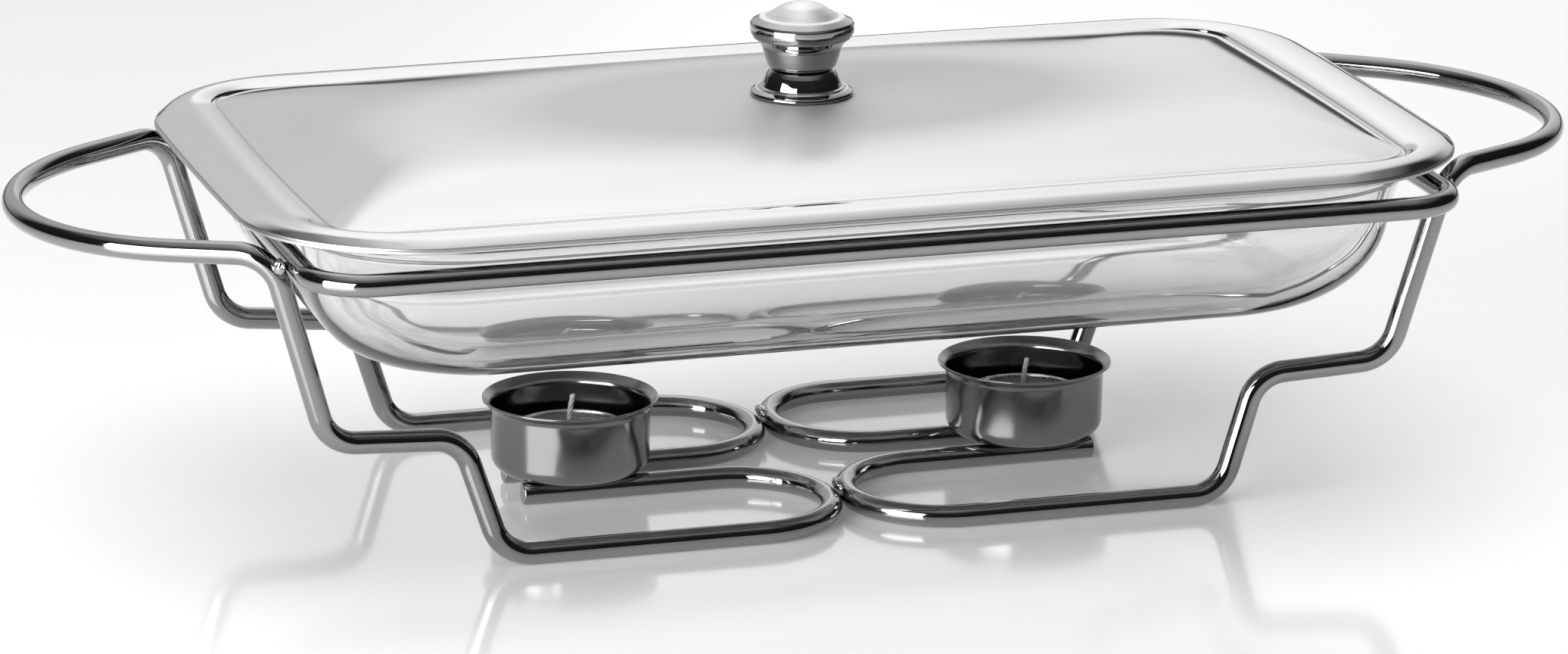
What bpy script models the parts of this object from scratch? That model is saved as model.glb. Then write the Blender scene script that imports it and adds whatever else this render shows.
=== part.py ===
"""Chafing dish food warmer: a wire stand, a glass dish with a knobbed lid, and two tealights in steel cups.

Frame: metres, +Z up, origin on the table under the middle of the stand, +X along the long side.
Every sub-part is one named object. The stand is one welded body. The dish lifts out of the ring,
the lid lifts off the dish, and each tealight lifts out of its cup, all along +Z.
"""
import math

import bmesh
import bpy
from mathutils import Matrix, Quaternion, Vector

MM = 0.001
GAP = 0.3                       # clearance between touching pieces
SAME_POINT = 0.01               # path points closer than this are one point

# Driving dimensions in millimetres.
ROD_R = 3.6                     # radius of the stand's round rod
ROD_SIDES = 12

# Corners of an end wire's centreline, right front quarter: x, distance from the middle plane, z.
FREE_END_X = 96.6               # flat-cut end of the inner straight
INNER_Y = 12.2                  # inner straights that carry the candle cup
FLOOR_CORNER = (119.2, 72.8, ROD_R)
STEP_INNER = (131.6, 70.6, 41.7)
STEP_OUTER = (174.9, 74.2, 44.8)
HANDLE_CORNER = (192.6, 77.5, 107.2)
LEG_BEND_R = 13.0
HANDLE_BEND_R = 13.0
HANDLE_TIP_X = 255.9            # centreline at the outermost point of the handle loop
HANDLE_TIP_R = 71.3
HANDLE_DROOP = 1.8              # how much lower the tip is than the handle's root

RING_HALF_X = 185.1             # centreline of the top ring
RING_HALF_Y = 110.0
RING_CORNER_R = 18.0
RING_Z = 104.3
RING_BEAD = (190.8, 81.1, 104.2)   # centre of a weld bead in the crevice between ring and leg
RING_BEAD_R = 1.7
BASE_BEAD_R = 1.8               # beads on top where the two U bends meet

CUP_X = 77.3                    # candle cups and tealights
CUP_R = 26.2
CUP_LIP_R = 28.8
CUP_SHEET = 0.8
CUP_BOTTOM_Z = 2 * ROD_R + GAP
CUP_TOP_Z = 30.8
CUP_EDGE_R = 5.0

SHELL_R = 18.2
SHELL_HEIGHT = 12.8
SHELL_SHEET = 0.5
WAX_DROP = 1.2                  # wax surface below the shell's brim
WAX_MENISCUS = 0.5              # the wax stands this much higher against the shell
WICK_R = 0.9
WICK_SIDES = 8
WICK_ABOVE_WAX = 11.5
WICK_LEAN = 1.2                 # sideways shift of the wick's tip
TAB_R = 6.5
TAB_SHEET = 0.4
TAB_NECK_HEIGHT = 3.5

DISH_HALF_X = 188.0             # outer edge of the rim flange
DISH_HALF_Y = 110.8
DISH_CORNER_R = 60.0
DISH_WALL_X = 180.2             # outside of the wall just under the flange
DISH_WALL_Y = 105.3
DISH_WALL_CORNER_R = 46.0
DISH_BOTTOM_Z = 62.7
DISH_CLEAR = 0.4                # flange underside above the ring's top
DISH_FLANGE = 5.7               # flange thickness
DISH_BASE = 7.0
DISH_WALL = 5.0
DISH_BEND_R = 33.0              # outside bend between base and walls
DISH_DRAFT = 3.0                # how much the wall leans in over its height

LID_HALF_X = 199.5
LID_HALF_Y = 114.0
LID_CORNER_R = 56.0
LID_BOW = 2.0                   # how far the sides bow out beyond straight
LID_SHEET = 0.8
LID_EDGE_Z = 113.0
LID_CENTRE_Z = 126.3
LID_CREASE_IN = 18.5            # crease line measured in from the long edges
LID_CREASE_END = 4.0            # how much further in the crease lies at the two ends
LID_CREASE_CORNER_R = 15.0
LID_HOLE_R = 3.0

KNOB_BASE_HEIGHT = 8.4

SCREW_R = 2.3
SCREW_HEAD_R = 4.6
SCREW_HEAD = 3.0
SCREW_DEPTH = 17.0              # thread length above the lid
WASHER_R = 6.5
WASHER_THICK = 1.0

ROUND_SEGMENTS = 28
SMALL_SEGMENTS = 20


# Scene and material helpers

def clear_scene():
    for item in list(bpy.data.objects):
        bpy.data.objects.remove(item, do_unlink=True)


def make_material(name, colour, metallic, roughness, transmission=0.0):
    material = bpy.data.materials.new(name)
    material.use_nodes = True
    shader = material.node_tree.nodes["Principled BSDF"]
    shader.inputs["Base Color"].default_value = (*colour, 1.0)
    shader.inputs["Metallic"].default_value = metallic
    shader.inputs["Roughness"].default_value = roughness
    shader.inputs["Transmission Weight"].default_value = transmission
    return material


def empty(name, location_mm, parent=None):
    item = bpy.data.objects.new(name, None)
    item.location = Vector(location_mm) * MM
    item.parent = parent
    bpy.context.collection.objects.link(item)
    return item


def finish_object(name, bm, material, parent, smooth_angle=40):
    """Turn a bmesh in millimetres into a named object. The mesh is in the parent's coordinates."""
    bmesh.ops.recalc_face_normals(bm, faces=bm.faces)
    bmesh.ops.scale(bm, vec=(MM, MM, MM), verts=bm.verts)
    mesh = bpy.data.meshes.new(name)
    bm.to_mesh(mesh)
    bm.free()
    mesh.shade_smooth()
    mesh.set_sharp_from_angle(angle=math.radians(smooth_angle))
    mesh.materials.append(material)
    item = bpy.data.objects.new(name, mesh)
    item.parent = parent
    bpy.context.collection.objects.link(item)
    return item


# Shape helpers, all in millimetres

def rounded_path(corners, closed=False, step=math.radians(15)):
    """Corner points with a bend radius each, turned into points along straights and arcs."""
    points = []
    count = len(corners)
    for index, (corner, radius) in enumerate(corners):
        corner = Vector(corner)
        if not closed and index in (0, count - 1):
            points.append(corner)
            continue
        before = (Vector(corners[index - 1][0]) - corner).normalized()
        after = (Vector(corners[(index + 1) % count][0]) - corner).normalized()
        turn = math.pi - before.angle(after)
        tangent = radius * math.tan(turn / 2)
        centre = corner + (before + after).normalized() * radius / math.cos(turn / 2)
        start = corner + before * tangent - centre
        axis = start.cross(corner + after * tangent - centre).normalized()
        steps = max(2, math.ceil(turn / step))
        for i in range(steps + 1):
            point = Quaternion(axis, turn * i / steps) @ start
            points.append(centre + point)
    return drop_repeats(points, closed)


def drop_repeats(points, closed):
    kept = [points[0]]
    for point in points[1:]:
        if (point - kept[-1]).length > SAME_POINT:
            kept.append(point)
    if closed and (kept[0] - kept[-1]).length <= SAME_POINT:
        kept.pop()
    return kept


def sweep_rod(points, radius, sides, closed=False):
    """Round rod along points. Sections lie in the mitre planes, and one flat of the rod faces down
    wherever the rod lies level, so that it rests on the table on a face."""
    bm = bmesh.new()
    count = len(points)
    directions = []
    for i in range(count):
        ahead = points[(i + 1) % count] - points[i] if closed or i < count - 1 else None
        behind = points[i] - points[i - 1] if closed or i > 0 else None
        if ahead is None:
            ahead = behind
        if behind is None:
            behind = ahead
        directions.append((ahead.normalized() + behind.normalized()).normalized())
    up = Vector((1, 0, 0)) if abs(directions[0].z) > 0.9 else Vector((0, 0, 1))
    flat_radius = radius / math.cos(math.pi / sides)
    sections = []
    for i, direction in enumerate(directions):
        if i:
            up = directions[i - 1].rotation_difference(direction) @ up
        up = (up - direction * up.dot(direction)).normalized()
        side = direction.cross(up)
        stretch = 1.0
        if closed or 0 < i < count - 1:
            bend = (points[i] - points[i - 1]).angle(points[(i + 1) % count] - points[i])
            stretch = 1 / math.cos(bend / 2)
        normal = bend_normal(points, i, closed, direction)
        section = []
        for k in range(sides):
            angle = 2 * math.pi * (k + 0.5) / sides
            offset = (up * math.cos(angle) + side * math.sin(angle)) * flat_radius
            if normal is not None:
                offset += normal * offset.dot(normal) * (stretch - 1)
            section.append(bm.verts.new(points[i] + offset))
        sections.append(section)
    spans = count if closed else count - 1
    for i in range(spans):
        first = sections[i]
        second = sections[(i + 1) % count]
        for k in range(sides):
            bm.faces.new((first[k], first[(k + 1) % sides], second[(k + 1) % sides], second[k]))
    if not closed:
        bm.faces.new(sections[0])
        bm.faces.new(sections[-1])
    return bm


def bend_normal(points, index, closed, direction):
    """Direction in the plane of the bend, across the rod, at one point of the path."""
    count = len(points)
    if not closed and index in (0, count - 1):
        return None
    sharp = (points[(index + 1) % count] - points[index]).normalized()
    sharp -= (points[index] - points[index - 1]).normalized()
    sharp -= direction * sharp.dot(direction)
    if sharp.length < 1e-6:
        return None
    return sharp.normalized()


def turn_profile(profile, centre=(0, 0), segments=ROUND_SEGMENTS):
    """Solid of revolution about a vertical axis from (radius, z) points. Radius 0 ends close on the axis."""
    bm = bmesh.new()
    rings = []
    for radius, z in profile:
        if radius == 0:
            rings.append([bm.verts.new((centre[0], centre[1], z))])
            continue
        ring = []
        for k in range(segments):
            angle = 2 * math.pi * k / segments
            x = centre[0] + radius * math.cos(angle)
            y = centre[1] + radius * math.sin(angle)
            ring.append(bm.verts.new((x, y, z)))
        rings.append(ring)
    closed = profile[0][0] != 0
    pairs = list(zip(rings, rings[1:]))
    if closed:
        pairs.append((rings[-1], rings[0]))
    for first, second in pairs:
        bridge(bm, first, second)
    return bm


def bridge(bm, first, second):
    """Faces between two rings of equal count, or between a ring and a single point."""
    count = max(len(first), len(second))
    for k in range(count):
        following = (k + 1) % count
        if len(first) == 1:
            bm.faces.new((first[0], second[k], second[following]))
        elif len(second) == 1:
            bm.faces.new((first[k], first[following], second[0]))
        else:
            bm.faces.new((first[k], first[following], second[following], second[k]))


def arc(centre_r, centre_z, radius, start_deg, end_deg, steps):
    """(radius, z) points on an arc, angles from +radius towards +z."""
    points = []
    for i in range(steps + 1):
        angle = math.radians(start_deg + (end_deg - start_deg) * i / steps)
        points.append((centre_r + radius * math.cos(angle), centre_z + radius * math.sin(angle)))
    return points


def rectangle_outline(half_x, half_y, corner_r, bow=0.0, corner_steps=6, side_steps=2):
    """Rounded rectangle, anticlockwise from the middle of the +X side, with sides bowed out by bow."""
    points = []
    for quarter in range(4):
        swap = quarter % 2
        along = half_x if swap else half_y
        across = half_y if swap else half_x
        straight = along - corner_r
        other = across - corner_r
        local = []
        for i in range(side_steps):
            local.append((across, straight * i / side_steps))
        for i in range(corner_steps + 1):
            angle = math.pi / 2 * i / corner_steps
            local.append((other + corner_r * math.cos(angle), straight + corner_r * math.sin(angle)))
        for i in range(1, side_steps):
            local.append((other * (1 - i / side_steps), along))
        turn = Matrix.Rotation(math.pi / 2 * quarter, 2)
        for x, y in local:
            points.append(turn @ Vector((x, y)))
    return [bowed(point, half_x, half_y, bow) for point in points]


def bowed(point, half_x, half_y, bow):
    """Pull the ends of each side in, so that the middle stands proud of a straight line by bow."""
    pull_x = bow * (point.y / half_y) ** 2 * point.x / half_x
    pull_y = bow * (point.x / half_x) ** 2 * point.y / half_y
    return Vector((point.x - pull_x, point.y - pull_y))


def loft(levels, cap_first, cap_last):
    """Skin a list of (outline, z) levels with equal point counts. Joins last to first when uncapped."""
    bm = bmesh.new()
    rings = []
    for outline, z in levels:
        rings.append([bm.verts.new((point.x, point.y, z)) for point in outline])
    for first, second in zip(rings, rings[1:]):
        bridge(bm, first, second)
    if cap_first:
        bm.faces.new(rings[0])
    if cap_last:
        bm.faces.new(rings[-1])
    if not cap_first and not cap_last:
        bridge(bm, rings[-1], rings[0])
    return bm


# Stand

def end_wire(side, material, parent):
    """One continuous rod: free end, U bend, floor run, stepped leg, loop handle, and the same at the back."""
    middle_x = ROD_R + GAP / 2
    u_bend_r = (FLOOR_CORNER[1] - INNER_Y - SAME_POINT) / 2
    front = [
        ((FREE_END_X, INNER_Y, ROD_R), 0),
        ((middle_x, INNER_Y, ROD_R), u_bend_r),
        ((middle_x, FLOOR_CORNER[1], ROD_R), u_bend_r),
        (FLOOR_CORNER, LEG_BEND_R),
        (STEP_INNER, LEG_BEND_R),
        (STEP_OUTER, LEG_BEND_R),
        (HANDLE_CORNER, HANDLE_BEND_R),
    ]
    corners = [((side * x, -y, z), radius) for (x, y, z), radius in front]
    corners.append((handle_apex(side), HANDLE_TIP_R))
    corners += [((side * x, y, z), radius) for (x, y, z), radius in reversed(front)]
    name = ("left" if side < 0 else "right") + "_end_wire"
    return finish_object(name, sweep_rod(rounded_path(corners), ROD_R, ROD_SIDES), material, parent)


def handle_apex(side):
    """Where the handle's two straights would meet if the loop's tip were not rounded."""
    centre_x = HANDLE_TIP_X - HANDLE_TIP_R
    reach_x = HANDLE_CORNER[0] - centre_x
    reach_y = HANDLE_CORNER[1]
    tangent_angle = math.atan2(reach_y, reach_x) - math.acos(HANDLE_TIP_R / math.hypot(reach_x, reach_y))
    apex_x = centre_x + HANDLE_TIP_R / math.cos(tangent_angle)
    droop = HANDLE_DROOP * (apex_x - HANDLE_CORNER[0]) / (HANDLE_TIP_X - HANDLE_CORNER[0])
    return (side * apex_x, 0, HANDLE_CORNER[2] - droop)


def top_ring(material, parent):
    corners = []
    for x, y in ((1, -1), (1, 1), (-1, 1), (-1, -1)):
        corners.append(((x * RING_HALF_X, y * RING_HALF_Y, RING_Z), RING_CORNER_R))
    path = rounded_path(corners, closed=True)
    return finish_object("top_ring", sweep_rod(path, ROD_R, ROD_SIDES, closed=True), material, parent)


def weld_bead(name, centre, size, material, parent):
    bm = bmesh.new()
    bmesh.ops.create_uvsphere(bm, u_segments=10, v_segments=6, radius=1.0)
    bmesh.ops.scale(bm, vec=size, verts=bm.verts)
    bmesh.ops.translate(bm, vec=centre, verts=bm.verts)
    return finish_object(name, bm, material, parent)


def welds(material, parent):
    """Beads in the crevice between ring and leg, and on top where the U bends meet in the middle."""
    for x, x_word in ((-1, "left"), (1, "right")):
        for y, y_word in ((-1, "front"), (1, "back")):
            centre = (x * RING_BEAD[0], y * RING_BEAD[1], RING_BEAD[2])
            weld_bead(f"ring_weld_{y_word}_{x_word}", centre, (RING_BEAD_R,) * 3, material, parent)
    middle_y = (INNER_Y + FLOOR_CORNER[1]) / 2
    reach = math.sqrt((ROD_R + GAP + BASE_BEAD_R) ** 2 - (ROD_R + GAP / 2) ** 2)
    size = (BASE_BEAD_R, 2 * BASE_BEAD_R, BASE_BEAD_R)
    for y, word in ((-1, "front"), (1, "back")):
        centre = (0, y * middle_y, ROD_R + reach)
        weld_bead(f"base_weld_{word}", centre, size, material, parent)


def candle_cup(side, material, parent):
    """Pressed cup with a rounded bottom edge and a lip that flares out like a trumpet."""
    flare = CUP_LIP_R - CUP_R
    flare_z = CUP_TOP_Z - flare
    outside = [(0, CUP_BOTTOM_Z)]
    outside += arc(CUP_R - CUP_EDGE_R, CUP_BOTTOM_Z + CUP_EDGE_R, CUP_EDGE_R, -90, 0, 4)
    outside += arc(CUP_LIP_R, flare_z, flare, 180, 100, 3)
    inside = arc(CUP_LIP_R, flare_z, flare + CUP_SHEET, 95, 180, 4)
    inside += arc(CUP_R - CUP_EDGE_R, CUP_BOTTOM_Z + CUP_EDGE_R, CUP_EDGE_R - CUP_SHEET, 0, -90, 4)
    inside.append((0, CUP_BOTTOM_Z + CUP_SHEET))
    name = ("left" if side < 0 else "right") + "_candle_cup"
    bm = turn_profile(outside + inside, (side * CUP_X, 0))
    return finish_object(name, bm, material, parent)


# Tealights, modelled about their own vertical axis with z measured from the shell's underside

def tealight(side, materials, parent):
    word = "left" if side < 0 else "right"
    shell = turn_profile(shell_profile(), segments=SMALL_SEGMENTS)
    finish_object(word + "_tealight_shell", shell, materials["tealight_shell"], parent)

    wax_top = SHELL_HEIGHT - WAX_DROP
    wax_bottom = SHELL_SHEET + GAP
    tab_top = wax_bottom + TAB_SHEET
    neck_top = tab_top + TAB_NECK_HEIGHT
    wick_clear = WICK_R + GAP
    neck_r = wick_clear + TAB_SHEET
    tab = [(wick_clear, wax_bottom), (TAB_R, wax_bottom), (TAB_R, tab_top), (neck_r, tab_top)]
    tab += [(neck_r, neck_top), (wick_clear, neck_top)]
    bm = turn_profile(tab, segments=SMALL_SEGMENTS)
    finish_object(word + "_wick_tab", bm, materials["wick_tab"], parent)

    wax_r = SHELL_R - SHELL_SHEET - GAP
    recess_r = TAB_R + GAP
    neck_clear = neck_r + GAP
    hollow_z = wax_top - WAX_MENISCUS
    wax = [(recess_r, wax_bottom), (wax_r - 0.5, wax_bottom), (wax_r, wax_bottom + 0.8), (wax_r, wax_top)]
    wax += [(wax_r - 0.8, hollow_z), (wick_clear, hollow_z), (wick_clear, neck_top + GAP)]
    wax += [(neck_clear, neck_top + GAP), (neck_clear, tab_top + GAP), (recess_r, tab_top + GAP)]
    bm = turn_profile(wax, segments=SMALL_SEGMENTS)
    finish_object(word + "_tealight_wax", bm, materials["wax"], parent)

    path = [Vector((0, 0, wax_bottom + 0.2)), Vector((0, 0, wax_top + 1.0))]
    path.append(Vector((WICK_LEAN / 4, 0, wax_top + 0.6 * WICK_ABOVE_WAX)))
    path.append(Vector((WICK_LEAN, 0, wax_top + WICK_ABOVE_WAX)))
    finish_object(word + "_wick", sweep_rod(path, WICK_R, WICK_SIDES), materials["wick"], parent)


def shell_profile():
    """Thin pressed cup with a small rolled brim."""
    inner_r = SHELL_R - SHELL_SHEET
    brim_z = SHELL_HEIGHT - 0.6
    shell = [(0, 0), (SHELL_R - 1, 0), (SHELL_R, 1), (SHELL_R, brim_z), (SHELL_R + 0.4, SHELL_HEIGHT)]
    shell += [(SHELL_R - 0.2, SHELL_HEIGHT), (inner_r, brim_z), (inner_r, 1), (inner_r - 0.5, SHELL_SHEET)]
    shell.append((0, SHELL_SHEET))
    return shell


# Dish

def dish(material, parent):
    """Pressed glass: flat base, big bend into the walls, and a rim flange that rests on the ring."""
    rim_low = RING_Z + ROD_R + DISH_CLEAR
    rim_top = rim_low + DISH_FLANGE
    wall_corner = DISH_WALL_CORNER_R
    outer = shell_levels(DISH_WALL_X, DISH_WALL_Y, wall_corner, DISH_BOTTOM_Z, rim_low - 1.0, DISH_BEND_R)
    inner_x = DISH_WALL_X - DISH_WALL
    inner_y = DISH_WALL_Y - DISH_WALL
    inner_corner = wall_corner - DISH_WALL
    inner_r = DISH_BEND_R - DISH_WALL
    inner = shell_levels(inner_x, inner_y, inner_corner, DISH_BOTTOM_Z + DISH_BASE, rim_top - 2.0, inner_r)
    rim = []
    for inset, z in ((1.2, rim_low), (0.3, rim_low + 0.8), (0.0, rim_low + 2.2)):
        rim.append((rim_outline(inset), z))
    for inset, z in ((0.0, rim_top - 2.2), (0.7, rim_top - 0.7), (2.2, rim_top)):
        rim.append((rim_outline(inset), z))
    mouth = rectangle_outline(inner_x + 1.2, inner_y + 1.2, inner_corner + 1.2)
    under = rectangle_outline(DISH_WALL_X + 0.8, DISH_WALL_Y + 0.8, wall_corner + 0.8)
    levels = outer + [(under, rim_low)] + rim + [(mouth, rim_top)] + inner[::-1]
    bm = loft(levels, cap_first=True, cap_last=True)
    return finish_object("glass_dish", bm, material, parent)


def rim_outline(inset):
    return rectangle_outline(DISH_HALF_X - inset, DISH_HALF_Y - inset, DISH_CORNER_R - inset)


def shell_levels(half_x, half_y, corner_r, bottom, top, bend_r):
    """Levels of a tray's skin from the flat base up: a round bend, then a wall that leans out."""
    levels = []
    steps = 5
    for i in range(steps + 1):
        angle = math.pi / 2 * i / steps
        inset = DISH_DRAFT + bend_r * (1 - math.sin(angle))
        z = bottom + bend_r * (1 - math.cos(angle))
        corner = max(corner_r - 0.45 * inset, 12.0)
        levels.append((rectangle_outline(half_x - inset, half_y - inset, corner), z))
    levels.append((rectangle_outline(half_x, half_y, corner_r), top))
    return levels


# Lid and knob

def lid_cover(material, parent):
    """Pressed sheet: turned-down edge, convex border, crease, and a domed panel with a screw hole."""
    border = [(0.0, 0.0), (0.0, 1.2), (0.7, 2.6), (2.4, 3.8), (5.2, 4.6), (9.0, 4.8), (13.0, 4.1)]
    border += [(16.5, 3.0), (LID_CREASE_IN, 2.2), (21.5, 2.9), (25.0, 4.0)]
    outside = [(lid_outline(inset), LID_EDGE_Z + rise) for inset, rise in border]
    panel_inset, panel_rise = border[-1]
    panel = lid_outline(panel_inset)
    panel_z = LID_EDGE_Z + panel_rise
    hole = hole_outline(panel)
    flat_from = 0.91                # share of the way in where the level knob seat begins
    for share in (0.12, 0.28, 0.46, 0.64, 0.8, flat_from, 1.0):
        outline = [edge.lerp(centre, share) for edge, centre in zip(panel, hole)]
        dome = math.sin(math.pi / 2 * min(share / flat_from, 1))
        outside.append((outline, panel_z + (LID_CENTRE_Z - panel_z) * dome))
    inside = [(lid_outline(LID_SHEET), LID_EDGE_Z)]
    for inset, rise in border[1:]:
        inside.append((lid_outline(max(inset, LID_SHEET + 0.35 * inset)), LID_EDGE_Z + rise - LID_SHEET))
    for outline, z in outside[len(border):]:
        inside.append((outline, z - LID_SHEET))
    bm = loft(outside + inside[::-1], cap_first=False, cap_last=False)
    return finish_object("lid_cover", bm, material, parent)


def lid_outline(inset):
    """Outline a given distance in from the edge. Going in to the crease, the corners tighten."""
    share = min(inset / LID_CREASE_IN, 1)
    corner = LID_CORNER_R + (LID_CREASE_CORNER_R - LID_CORNER_R) * share
    half_x = LID_HALF_X - inset - LID_CREASE_END * share
    return rectangle_outline(half_x, LID_HALF_Y - inset, corner, bow=LID_BOW)


def hole_outline(around):
    """Circle of the screw hole, with one point for each point of the outline around it."""
    points = []
    count = len(around)
    for k in range(count):
        angle = 2 * math.pi * k / count
        points.append(Vector((LID_HOLE_R * math.cos(angle), LID_HOLE_R * math.sin(angle))))
    return points


def knob_base(material, parent):
    """Lower bell of the knob: a spread flange, a stepped shoulder and a narrow top."""
    bottom = LID_CENTRE_Z + GAP
    top = bottom + KNOB_BASE_HEIGHT
    profile = [(LID_HOLE_R, bottom), (16.2, bottom), (16.7, bottom + 0.5), (16.3, bottom + 1.3)]
    profile += [(14.6, bottom + 2.1), (13.5, bottom + 2.5), (12.7, bottom + 2.9), (12.4, bottom + 4.2)]
    profile += [(11.6, bottom + 6.3), (10.3, bottom + 8.0), (9.7, top), (LID_HOLE_R, top)]
    return finish_object("knob_base", turn_profile(profile), material, parent)


def knob_body(material, parent):
    """Upper turned knob: tapered stem, a double band round the head, and a domed top."""
    bottom = LID_CENTRE_Z + GAP + KNOB_BASE_HEIGHT + GAP
    hole_r = SCREW_R + GAP
    hole_top = LID_CENTRE_Z + SCREW_DEPTH + 1.0
    profile = [(0, hole_top), (hole_r, hole_top - 1.0), (hole_r, bottom), (9.6, bottom), (10.7, bottom + 0.4)]
    profile += [(11.2, bottom + 1.2), (12.0, bottom + 3.7), (12.8, bottom + 7.0), (14.0, bottom + 8.7)]
    profile += [(16.1, bottom + 10.4), (16.2, bottom + 11.2), (16.8, bottom + 11.7), (16.8, bottom + 14.0)]
    profile += [(16.2, bottom + 15.6), (13.7, bottom + 16.5), (11.6, bottom + 16.6), (10.6, bottom + 17.1)]
    profile += [(8.0, bottom + 19.0), (5.3, bottom + 20.4), (2.5, bottom + 21.2), (0, bottom + 21.5)]
    return finish_object("knob_body", turn_profile(profile), material, parent)


def knob_fixings(materials, parent):
    """Pan-head screw up through the lid into the knob, with a washer under its head."""
    washer_top = LID_CENTRE_Z - LID_SHEET - GAP
    washer_low = washer_top - WASHER_THICK
    hole_r = SCREW_R + GAP
    washer = [(hole_r, washer_low), (WASHER_R, washer_low), (WASHER_R, washer_top), (hole_r, washer_top)]
    bm = turn_profile(washer, segments=SMALL_SEGMENTS)
    finish_object("knob_washer", bm, materials["knob_washer"], parent)
    head_top = washer_low - GAP
    head_low = head_top - SCREW_HEAD
    screw = [(0, head_low), (SCREW_HEAD_R - 1.4, head_low + 0.3), (SCREW_HEAD_R, head_low + 1.6)]
    screw += [(SCREW_HEAD_R, head_top), (SCREW_R, head_top), (SCREW_R, LID_CENTRE_Z + SCREW_DEPTH - 1.0)]
    screw += [(SCREW_R - 0.8, LID_CENTRE_Z + SCREW_DEPTH - 0.4), (0, LID_CENTRE_Z + SCREW_DEPTH - 0.4)]
    bm = turn_profile(screw, segments=SMALL_SEGMENTS)
    finish_object("knob_screw", bm, materials["knob_screw"], parent)


def build_materials():
    chrome = (0.72, 0.72, 0.73)
    return {
        "chrome_rod": make_material("chrome_rod", chrome, 1.0, 0.08),
        "weld": make_material("weld", (0.6, 0.6, 0.6), 1.0, 0.3),
        "cup_steel": make_material("cup_steel", (0.42, 0.42, 0.42), 1.0, 0.3),
        "dish_glass": make_material("dish_glass", (0.93, 0.95, 0.95), 0.0, 0.02, transmission=0.9),
        "lid_steel": make_material("lid_steel", (0.82, 0.82, 0.83), 1.0, 0.12),
        "knob_chrome": make_material("knob_chrome", chrome, 1.0, 0.08),
        "knob_screw": make_material("knob_screw", (0.55, 0.55, 0.56), 1.0, 0.35),
        "knob_washer": make_material("knob_washer", (0.6, 0.6, 0.6), 1.0, 0.35),
        "tealight_shell": make_material("tealight_shell", (0.75, 0.75, 0.76), 1.0, 0.3),
        "wax": make_material("wax", (0.72, 0.72, 0.7), 0.0, 0.45),
        "wick": make_material("wick", (0.8, 0.79, 0.75), 0.0, 0.9),
        "wick_tab": make_material("wick_tab", (0.6, 0.6, 0.6), 1.0, 0.4),
    }


def main():
    clear_scene()
    materials = build_materials()

    stand = empty("stand", (0, 0, 0))
    top_ring(materials["chrome_rod"], stand)
    for side in (-1, 1):
        end_wire(side, materials["chrome_rod"], stand)
        candle_cup(side, materials["cup_steel"], stand)
    welds(materials["weld"], stand)

    dish_lift = empty("dish_lift", (0, 0, 0), stand)
    dish(materials["dish_glass"], dish_lift)

    lid_lift = empty("lid_lift", (0, 0, 0), dish_lift)
    lid_cover(materials["lid_steel"], lid_lift)
    knob_base(materials["knob_chrome"], lid_lift)
    knob_body(materials["knob_chrome"], lid_lift)
    knob_fixings(materials, lid_lift)

    for side, word in ((-1, "left"), (1, "right")):
        floor_z = CUP_BOTTOM_Z + CUP_SHEET + GAP
        lift = empty(word + "_tealight_lift", (side * CUP_X, 0, floor_z), stand)
        tealight(side, materials, lift)


main()
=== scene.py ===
"""Looks for the chafing dish food warmer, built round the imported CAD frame.

Every visible piece is a fine version of its CAD node, in the same place and of the same size.
Shapes are worked out in millimetres and scaled to metres when they become objects.
"""
import math

import bmesh
import bpy
from mathutils import Matrix, Quaternion, Vector, noise


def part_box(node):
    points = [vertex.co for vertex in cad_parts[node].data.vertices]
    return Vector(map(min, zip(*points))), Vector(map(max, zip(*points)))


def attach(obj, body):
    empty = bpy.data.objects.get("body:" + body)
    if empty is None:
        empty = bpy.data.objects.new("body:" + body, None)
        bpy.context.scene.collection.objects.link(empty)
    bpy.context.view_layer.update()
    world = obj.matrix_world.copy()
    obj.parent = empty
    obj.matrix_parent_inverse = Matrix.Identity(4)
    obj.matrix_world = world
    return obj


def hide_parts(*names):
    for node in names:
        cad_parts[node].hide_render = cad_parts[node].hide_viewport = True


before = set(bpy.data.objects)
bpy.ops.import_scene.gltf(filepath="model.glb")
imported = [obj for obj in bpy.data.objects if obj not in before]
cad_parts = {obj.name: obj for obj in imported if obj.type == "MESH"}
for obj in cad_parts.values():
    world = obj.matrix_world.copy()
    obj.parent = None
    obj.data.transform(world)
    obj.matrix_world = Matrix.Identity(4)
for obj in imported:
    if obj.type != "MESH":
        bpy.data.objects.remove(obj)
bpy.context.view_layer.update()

MM = 0.001
SIDES = (("left", -1), ("right", 1))
SAME_POINT = 0.004


# ---------------------------------------------------------------- sizes, from the CAD frame

def box_mm(node):
    """Lowest and highest corner of a CAD node, in millimetres."""
    low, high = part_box(node)
    return low / MM, high / MM


ROD_R = 3.6
ROD_SIDES = 40
WIRE_GAP = 0.3
BEND_STEP = math.radians(3.5)

ring_low, ring_high = box_mm("top_ring")
RING_HALF_X = (ring_high.x - ring_low.x) / 2 - ROD_R
RING_HALF_Y = (ring_high.y - ring_low.y) / 2 - ROD_R
RING_Z = (ring_low.z + ring_high.z) / 2
RING_CORNER_R = 18.0

# Corners of an end wire's centreline, as in the CAD: x, distance from the middle plane, z.
FREE_END_X = 96.6
INNER_Y = 12.2
FLOOR_CORNER = (119.2, 72.8, ROD_R)
STEP_INNER = (131.6, 70.6, 41.7)
STEP_OUTER = (174.9, 74.2, 44.8)
HANDLE_CORNER = (192.6, 77.5, 107.2)
LEG_BEND_R = 13.0
HANDLE_BEND_R = 13.0
HANDLE_TIP_X = 255.9
HANDLE_TIP_R = 71.3
HANDLE_DROOP = 1.8

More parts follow.
